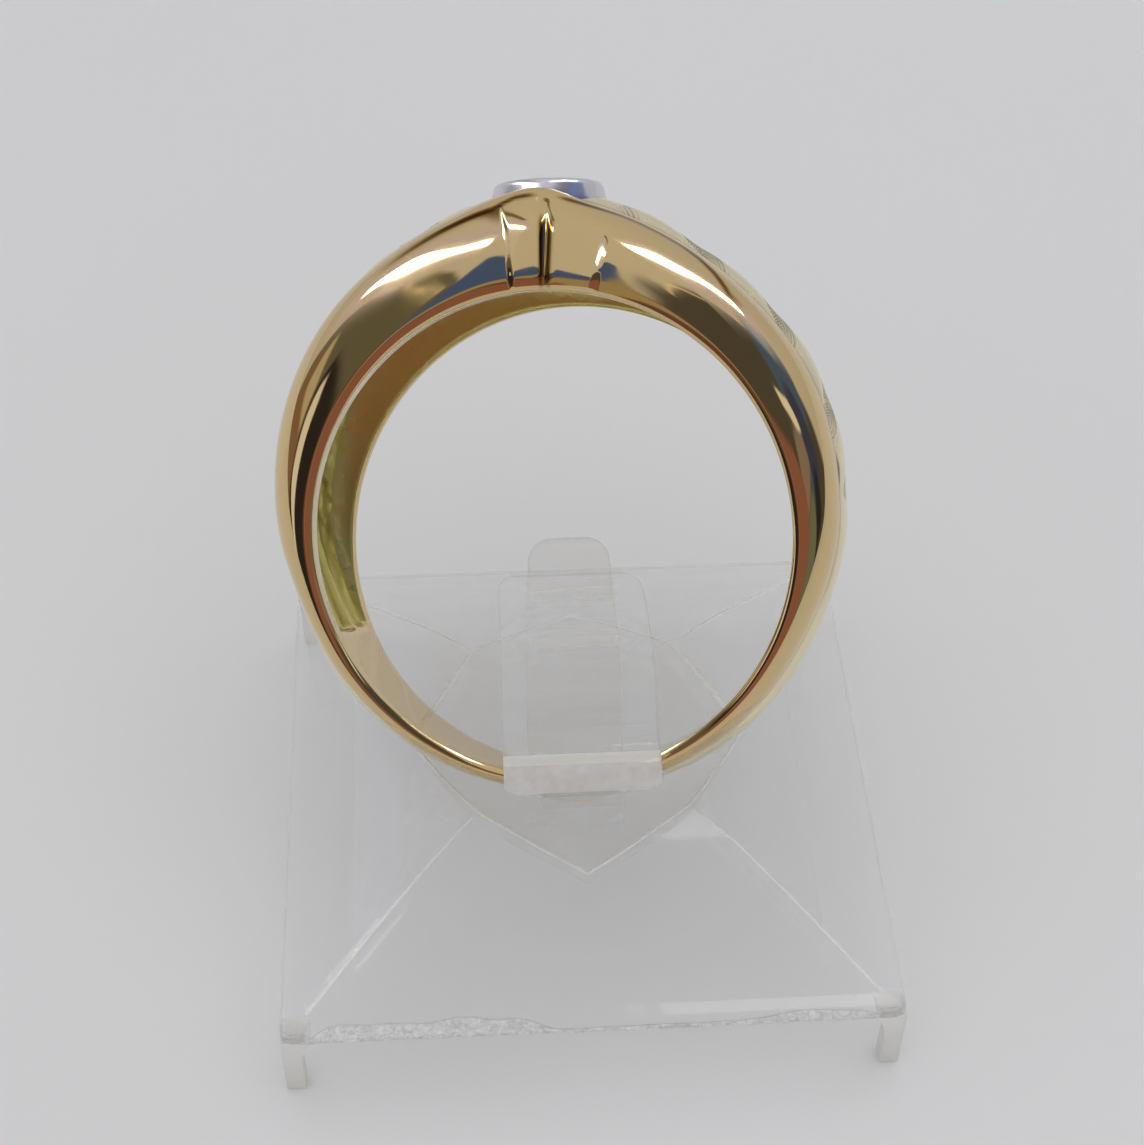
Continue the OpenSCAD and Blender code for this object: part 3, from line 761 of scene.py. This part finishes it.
def polished_gold():
    """Cast 18 carat yellow gold, polished with rouge: mirror bright, a breath of wear, and painted shade, in two darker
    golds, in its grooves, along its crest and down the crease."""
    # the gold, then the two darker golds of the painted shade
    colours = finish("gold"), srgb("#96753C"), srgb("#4A3216")
    return gold_with_painted_shade("polished 18 carat gold", colours, {"Scale": 900.0, "Detail": 3.0}, (.35, .75), (.04, .085))


def chased_gold():
    """The same gold where the wires are chased: satin between the cuts, so that it looks paler, and painted shade in
    the cuts and along the rope's edges."""
    # the paler gold, then the two darker golds of the painted shade
    colours = srgb("#F2E8C8"), srgb("#A88A50"), srgb("#4E3618")
    return gold_with_painted_shade("chased 18 carat gold", colours, {"Scale": 3000.0, "Detail": 2.0}, (.35, .7), (.08, .22))


def cast_gold():
    """18 carat gold as it leaves the mould, only tumbled: satin and greener, with shallow lumps of about 0.4 mm and a
    few bright pits."""
    made, tree, place = material("tumbled cast 18 carat gold")
    lumps, gloss = patchy(tree, place, {"Scale": 2400.0, "Detail": 2.0, "Roughness": .45}, (.3, .7), (.26, .42))
    pits = add(tree, "ShaderNodeTexVoronoi", {"Scale": 1500.0, "feature": "SMOOTH_F1"}, {"Vector": place})
    deep = add(tree, "ShaderNodeMath", {"operation": "MULTIPLY_ADD", 1: .35}, {0: pits, 2: lumps})
    bump = add(tree, "ShaderNodeBump", {"Strength": .30, "Distance": .00007}, {"Height": deep})
    return shaded(made, {"Base Color": finish("gold_inside"), "Metallic": 1.0},
                  {"Roughness": gloss, "Normal": bump})


def polished_white_gold():
    """Rhodium plated white gold, polished: colder and a little darker than silver, with a soft shine."""
    made, tree, place = material("polished rhodium plated white gold")
    gloss = patchy(tree, place, {"Scale": 1200.0, "Detail": 3.0}, (.35, .75), (.20, .27))[1]
    return shaded(made, {"Base Color": finish("white_metal"), "Metallic": 1.0}, {"Roughness": gloss})


def cut_stone():
    """A colourless cut stone: clear, very high index, so that it flashes, with a trace of haze."""
    made, tree, place = material("colourless cut stone")
    gloss = patchy(tree, place, {"Scale": 1500.0}, (.4, .8), (.0, .03))[1]
    return shaded(made, {"Base Color": srgb("#FBFCFF"), "Transmission Weight": 1.0, "IOR": 2.2}, {"Roughness": gloss})


def clear_plastic():
    """Injection moulded acrylic: clear with a little milk in it, glossy, with the slow waves of about 3 mm that
    moulding leaves."""
    made, tree, place = material("moulded clear acrylic")
    flow = add(tree, "ShaderNodeTexNoise", {"Scale": 330.0, "Detail": 2.0}, {"Vector": place})
    bump = add(tree, "ShaderNodeBump", {"Strength": .2, "Distance": .0003}, {"Height": flow})
    gloss = patchy(tree, place, {"Scale": 700.0, "Detail": 4.0}, (.4, .8), (.02, .09))[1]
    tint = finish("plastic")
    return shaded(made, {"Base Color": tint, "Transmission Weight": .46, "IOR": 1.38, "Alpha": .3},
                  {"Roughness": gloss, "Normal": bump})


def frosted_and_highlight_plastic():
    """The same acrylic, frosted white and satin with scratches of about 0.2 mm: frosted on the feet, and white painted
    highlights along the hips, the recess's brink, the leaf's fold and the tongue's ridges.
    """
    made, tree, place = material("bruised acrylic")
    marks = add(tree, "ShaderNodeTexNoise", {"Scale": 5200.0, "Detail": 3.0}, {"Vector": place})
    bump = add(tree, "ShaderNodeBump", {"Strength": .35, "Distance": .00006}, {"Height": marks})
    return shaded(made, {"Base Color": srgb("#FBFAF6"), "Transmission Weight": .5, "IOR": 1.4, "Roughness": .34},
                  {"Normal": bump})


def clouded_plastic():
    """The same acrylic where the leaf is bent into the strap: stressed, so that it is cloudy in patches of about
    0.5 mm."""
    made, tree, place = material("clouded acrylic")
    cover = patchy(tree, place, {"Scale": 1900.0, "Detail": 3.0}, (.35, .65), (.74, .88))[1]
    return shaded(made, {"Base Color": srgb("#F2F2F3"), "Transmission Weight": .42, "IOR": 1.38, "Roughness": .3},
                  {"Alpha": cover})


def torn_plastic():
    """Acrylic flash, torn off along the gate: clear splinters of about 0.3 mm, grey to white, with painted white glints
    on their faces.
    """
    made, tree, place = material("torn acrylic flash")
    rough = {"Scale": 3300.0, "Detail": 4.0, "Roughness": .7, "Distortion": 1.4}
    chips_and_glints = add(tree, "ShaderNodeTexNoise", rough, {"Vector": place})
    # grey to white by the noise: painted glints on the splinters
    tones = [(.34, srgb("#DDDCDA")), (.5, srgb("#F4F4F4")), (.6, srgb("#FFFFFF"))]
    tone = add(tree, "ShaderNodeValToRGB", {"stops": tones}, {"Fac": chips_and_glints})
    bump = add(tree, "ShaderNodeBump", {"Strength": .7, "Distance": .0001}, {"Height": chips_and_glints})
    return shaded(made, {"Transmission Weight": .2, "IOR": 1.36, "Roughness": .25},
                  {"Base Color": tone, "Normal": bump})


def pale_board():
    """A white laminated board: matt, with hardly any grain."""
    made, tree, place = material("white laminate")
    patches = add(tree, "ShaderNodeTexNoise", {"Scale": 14.0, "Detail": 2.0}, {"Vector": place})
    light = finish("floor")
    tones = [(.3, (*[c * .97 for c in light[:3]], 1.0)), (.7, light)]
    tone = add(tree, "ShaderNodeValToRGB", {"stops": tones}, {"Fac": patches})
    return shaded(made, {"Roughness": .55}, {"Base Color": tone})


# ---- the stage

# cards round the ring that only reflections see, as the dark room behind the viewer and what stands in it: name,
# colour, radius in metres, softness of the edge and of the two ends in degrees, and stops of compass direction, lowest
# and highest angle over the floor. A stop without a lowest angle starts a little below the floor
CARDS = [
    ("dark_room_right", "#514F4D", 1, 2.5, (6, .8), [(78, 30), (82, 52), (88, 63), (95, 69.5), (104, 74), (118, 77.5),
      (140, 78.5), (160, 77.5), (172, 75.5), (182, 72), (190, 68.5), (196, 64.5), (201, 59), (204, 52), (206, 46),
      (209, 40)]),
    ("dark_room_left", "#66655D", .99, 1.5, (1, 2), [(211, 38), (219, 43.5), (224, 47.5), (232, 50), (245, 50.5),
      (255, 49.5), (264, 48), (272, 45), (280, 41), (286, 36), (291, 27), (294, 16), (297, 6)]),
    ("half_dark_left", "#856C5A", .98, 8, (4, 2), [(264, 22), (272, 30), (282, 30), (290, 22), (296, 8)]),
    ("pale_left", "#B9B3A6", .975, 4, (2, 3), [(268, 12, 26), (274, 11, 28), (280, 10, 30), (286, 10, 28)]),
    ("slate_right", "#4E638F", .96, 6, (8, 5), [(60, 38, 50), (68, 30, 54), (76, 24, 57), (84, 20, 59), (94, 16, 60),
      (104, 14, 59), (114, 12, 54), (122, 20, 50)]),
    ("pale_blue_right", "#7C9CCB", .959, 5, (4, 8), [(60, 38, 50), (68, 36, 54), (76, 36, 55), (86, 38, 54)]),
    ("slate_dark", "#40466A", .958, 8, (6, 6), [(90, 8, 42), (100, 6, 48), (110, 4, 50), (118, 4, 46)]),
    ("violet_right", "#8C7E80", .955, 4, (4, 4), [(112, 26, 38), (124, 26, 46), (140, 26, 46), (152, 26, 40)]),
    ("green_right", "#6F7A70", .954, 5, (4, 5), [(118, 26), (128, 30), (140, 30), (148, 28)]),
    ("warm_right", "#8E625C", .95, 3, (6, 1), [(142, 30), (150, 40), (160, 45.5), (178, 45.5), (192, 44), (200, 38),
      (206, 30)]),
    ("warm_left", "#6E4C48", .95, 5, (1, 3), [(208, 38), (218, 40), (228, 36), (232, 30)]),
    ("black_right", "#2E2F3B", .94, 5, (4, 4), [(100, 4, 20), (108, 2, 24), (116, 0, 22), (122, 0, 12)]),
    ("black_left", "#2D2A2E", .94, 3, (3, 3), [(224, 32), (228, 37), (240, 38), (250, 38), (262, 36), (268, 24)]),
    ("blue_back", "#4A62A2", .935, 1.5, (.8, 1), [(206, 36, 60), (210, 34, 61), (214, 38, 60), (219, 40, 59),
      (223, 43, 57)]),
    ("strip_right", "#E6E8EC", .93, 1.5, (2, 4), [(110, 34, 38), (114, 36, 47), (120, 39, 50), (128, 46, 54),
      (136, 50, 55)]),
    ("strip_left", "#E2E2EC", .93, 2.5, (1.5, 1.5), [(251, -2, 10), (253, -2, 30), (258, 0, 33), (262, 4, 30),
      (265, 8, 20)]),
    ("pale_edge", "#A4977A", .93, 3, (.6, .6), [(205.4, 52), (206.5, 52), (209, 48), (210.6, 40)]),
]

# ribbons in the same way: the thin light lines over the dark, the soft glow of the two tubes, and the tubes. Name,
# colour, strength, radius, half width in degrees and share of it that fades, and stops of compass direction and angle
# over the floor
LAMPS = [
    ("line_left", "#FFF2DA", .9, .925, .22, .25, [(-98, 48), (-108, 48.4), (-118, 48), (-128, 46.6), (-136, 44.5)]),
    ("line_right", "#FFF2DA", .85, .925, .3, .25, [(194, 63), (190, 67), (183, 71.5), (172, 74.5), (150, 76),
      (130, 75.5), (118, 74)]),
    ("halo_left", "#CBC8E4", 1, .925, 17, 1, [(-50, 12), (-58, 30), (-70, 45), (-82, 54), (-100, 62), (-122, 67)]),
    ("halo_right", "#CBC8E4", 1, .925, 19, 1, [(59, 26), (60, 45), (60, 58), (64, 68), (74, 76), (90, 82)]),
    ("brown_line", "#FFD9A8", .2, .923, 4.5, .9, [(332, 12), (328, 30), (322, 44), (310, 58), (294, 67), (270, 73)]),
    ("glow_left", "#F2EEFF", 1, .92, 8.5, .9, [(304, 22), (300, 35), (291, 42), (280, 48), (265, 54), (251, 60),
      (236, 64)]),
    ("glow_right", "#F2EEFF", 1, .92, 9.5, .9, [(59, 36), (57, 48), (54, 58), (55, 66), (60, 74), (66, 81), (60, 87)]),
    ("tube_left", "#FFFFFF", 9, .88, 2.6, .25, [(303, 25), (300, 35), (291, 42), (280, 48), (265, 54), (251, 60),
      (238, 64.5)]),
    ("tube_right", "#FFFFFF", 9, .88, 3.2, .25, [(59, 39), (57, 48), (54, 58), (55, 66), (60, 74), (66, 80),
      (64, 85.5)]),
]


def ways(az, el):
    """Points of a unit sphere from the compass direction and the height over the floor, in degrees."""
    return points_of(sin_d(az) * cos_d(el), cos_d(az) * cos_d(el), sin_d(el))


def hang(name, points, cover, colour, strength):
    """A studio card or lamp that only reflections see. It is clear where its cover is 0, so that its edge is soft."""
    mesh = mesh_of(name, points * 1000 + np.array([0, 0, 15.0]), grid_quads(*points.shape[:2], close_columns=False))
    give(mesh, "cover", cover)
    paint = bpy.data.materials.new(name + " light")
    paint.use_nodes = True
    tree = paint.node_tree
    tree.nodes.clear()
    edge = add(tree, "ShaderNodeAttribute", {"attribute_name": "cover"})
    glow = add(tree, "ShaderNodeEmission", {"Color": srgb(colour), "Strength": strength})
    clear = add(tree, "ShaderNodeBsdfTransparent")
    both = add(tree, "ShaderNodeMixShader", {}, {0: edge.outputs["Fac"], 1: clear, 2: glow})
    add(tree, "ShaderNodeOutputMaterial", {}, {"Surface": both})
    paint.cycles.emission_sampling = "NONE"
    mesh.materials.append(paint)
    o = bpy.data.objects.new(name, mesh)
    bpy.context.scene.collection.objects.link(o)
    o.visible_camera = o.visible_diffuse = o.visible_shadow = o.visible_transmission = False


def card(name, colour, reach, soft, ends, stops):
    """A patch of a sphere: for each compass direction, a lowest and a highest angle over the floor."""
    t = np.array([(stop[0], BELOW_FLOOR, stop[1]) if len(stop) == 2 else stop for stop in stops], float)
    az = np.linspace(t[0, 0], t[-1, 0], 141)
    low, high = np.interp(az, t[:, 0], t[:, 1]), np.interp(az, t[:, 0], t[:, 2])
    el = low + (high - low) * np.linspace(0, 1, 41)[:, None]
    cover = smooth((high - el) / soft) * np.where(low > 0, smooth((el - low) / soft), 1)
    cover = cover * smooth((az - az[0]) / ends[0]) * smooth((az[-1] - az) / ends[1])
    hang(name, reach * ways(az, el), cover, colour, 1.0)


def lamp(name, colour, strength, reach, half, soft, stops):
    """A bent tube of light: a ribbon along directions given by compass and height, half its width to each side."""
    t = np.array(stops, float)
    u = np.linspace(0, 1, 61)
    p = ways(t[:, 0], t[:, 1])
    p = points_of(*(np.interp(u, np.linspace(0, 1, len(t)), p[:, i]) for i in range(3)))
    for _ in range(30):
        p[1:-1] = (p[:-2] + 2 * p[1:-1] + p[2:]) / 4
    beside = np.cross(p, np.gradient(p, axis=0))
    beside /= np.linalg.norm(beside, axis=1, keepdims=True)
    k = np.linspace(-1, 1, 13)
    wide = half * np.sqrt(np.clip(np.minimum(u, 1 - u) / .03, .01, 1))[:, None]
    rows = np.stack([p + beside * np.tan(np.radians(v * wide)) for v in k])
    cover = smooth((1 - abs(k)) / soft)[:, None] * smooth(np.minimum(u, 1 - u) / .04)[None, :]
    hang(name, reach * rows, cover, colour, strength)


class RING_OT_stage(bpy.types.Operator):
    """The pale floor, the soft light round it, and the camera at the photograph's place"""
    bl_idname = "ring.stage"
    bl_label = "Stage, light and camera"

    def execute(self, context):
        scene, span = context.scene, 900.0
        square = [(-span, -span, -.02), (span, -span, -.02), (span, span, -.02), (-span, span, -.02)]
        floor = bpy.data.objects.new("floor", mesh_of("floor", square, [[0, 1, 2, 3]], flat=True))
        floor.data.materials.append(pale_board())
        scene.collection.objects.link(floor)

        world = bpy.data.worlds.new("soft room")
        world.use_nodes = True
        scene.world = world
        tree = world.node_tree
        tree.nodes.clear()
        way = add(tree, "ShaderNodeSeparateXYZ", {}, {"Vector": add(tree, "ShaderNodeTexCoord").outputs["Generated"]})
        tones = [(0.0, srgb("#BFBFC1")), (.25, srgb("#C2C2C3")), (1.0, srgb("#CDCDCE"))]
        up = add(tree, "ShaderNodeValToRGB", {"stops": tones}, {"Fac": way.outputs["Z"]})
        path = add(tree, "ShaderNodeLightPath")
        glow = add(tree, "ShaderNodeMath", {"operation": "MULTIPLY_ADD", 1: .34, 2: 1.0},
                   {0: path.outputs["Is Diffuse Ray"]})
        sky = add(tree, "ShaderNodeBackground", {}, {"Color": up, "Strength": glow})
        add(tree, "ShaderNodeOutputWorld", {}, {"Surface": sky})

        for row in CARDS:
            card(*row)
        for row in LAMPS:
            lamp(*row)

        camera = bpy.data.objects.new("camera", bpy.data.cameras.new("camera"))
        scene.collection.objects.link(camera)
        across, down, ahead = (np.array(v) for v in (
            (.998422, -.055739, .006856), (-.035913, -.727558, -.685105), (.043175, .683778, -.728412)))
        m = np.eye(4)
        m[:3, 0], m[:3, 1], m[:3, 2] = across, -down, -ahead
        m[:3, 3] = np.array([-3.573, -53.3714, 70.3414]) * MM
        camera.matrix_world = Matrix(m.tolist())
        camera.data.sensor_width = 36
        camera.data.sensor_fit = "HORIZONTAL"
        camera.data.lens = 67.683
        camera.data.clip_start, camera.data.clip_end = .005, 10
        scene.camera = camera
        scene.view_settings.view_transform = "Standard"
        return {"FINISHED"}


# ---- sizes and colours

def length(name, text, default, **more):
    return FloatProperty(name=name, description=text, default=default, unit="LENGTH", **more)


def colour(name, text, seen):
    return FloatVectorProperty(name=name, description=text, subtype="COLOR", size=4, min=0, max=1, default=srgb(seen))


class RingSizes(bpy.types.PropertyGroup):
    finger_hole: length("Finger hole", "Diameter of the bore", .0174, min=.014, max=.024)
    half_width: length("Half width", "Mean half width of the three bands", .00292)
    taper: length("Taper", "How much wider the top is than the shank's back", .00099)
    flatness: length("Side fullness", "Change of that taper at the sides", -.00017)
    middle_share: FloatProperty(
        name="Middle band", description="Half width of the middle band, of the whole", default=.36, subtype="FACTOR")
    groove_swing: length("Groove swing", "How far the groove swings out round the setting", .001)
    rim_chamfer: length("Rim chamfer", "Width of the chamfer at the hole's rim", .00012)
    lip: length("Lip", "Width of the lip beside the hollow back", .00075)
    valley_depth: length("Valley", "Depth of the pinch in front of the setting", .0005)
    strand_pitch: FloatProperty(
        name="Strand pitch", description="Degrees from one strand of the rope to the next", default=19.0)
    strand_height: length("Strand height", "Height of the plump strands", .0002)
    rib_height: length("Rib height", "Height of a laid wire", .00016)
    setting: length("Collet", "Outer diameter of the collet", .00432)
    setting_top: length("Collet height", "Height of the collet's rim over the bore", .0042)
    stone: length("Stone", "Girdle diameter of the stone", .0031)
    lean: FloatProperty(name="Lean", description="Degrees that the ring leans back in the clip", default=43.5)


class StandSizes(bpy.types.PropertyGroup):
    base_width: length("Base width", "Width of the square base", .0225)
    edge_height: length("Edge height", "Height of the thin wall's upper edge", .00338)
    leaf_length: length("Front leaf", "Length of the front leaf above the shank", .00785)
    tongue_length: length("Tongue", "Length of the rear tongue above the shank", .00885)
    leaf_thickness: length("Leaf thickness", "Thickness of both leaves", .00055)


class RingFinish(bpy.types.PropertyGroup):
    gold: colour("Gold", "Colour of the polished gold", "#DFC592")
    gold_inside: colour("Cast gold", "Colour of the unpolished hollow back", "#D0C47A")
    white_metal: colour("White gold", "Colour of the collet", "#DCDBE2")
    plastic: colour("Clear plastic", "Tint of the stand", "#FAFBFC")
    floor: colour("Floor", "Colour of the floor", "#EAEAEB")


class RING_PT_panel(bpy.types.Panel):
    bl_label = "Band ring and clip stand"
    bl_idname = "RING_PT_panel"
    bl_space_type = "VIEW_3D"
    bl_region_type = "UI"
    bl_category = "Ring"

    def draw(self, context):
        for group in (context.scene.band_ring, context.scene.clip_stand, context.scene.ring_finish):
            box = self.layout.box()
            for key in group.__annotations__:
                box.prop(group, key)
        for made in OPERATORS:
            self.layout.operator(made.bl_idname)


OPERATORS = (RING_OT_polished_bands, RING_OT_rope_band, RING_OT_setting, RING_OT_stand, RING_OT_stage)
CLASSES = (RingSizes, StandSizes, RingFinish, *OPERATORS, RING_PT_panel)


def register():
    for c in CLASSES:
        bpy.utils.register_class(c)
    bpy.types.Scene.band_ring = PointerProperty(type=RingSizes)
    bpy.types.Scene.clip_stand = PointerProperty(type=StandSizes)
    bpy.types.Scene.ring_finish = PointerProperty(type=RingFinish)


def unregister():
    for name in ("band_ring", "clip_stand", "ring_finish"):
        delattr(bpy.types.Scene, name)
    for c in reversed(CLASSES):
        bpy.utils.unregister_class(c)


def main():
    register()
    bpy.ops.ring.polished_bands()
    bpy.ops.ring.rope_band()
    bpy.ops.ring.setting()
    bpy.ops.ring.stand()
    bpy.ops.ring.stage()


if __name__ == "__main__":
    main()
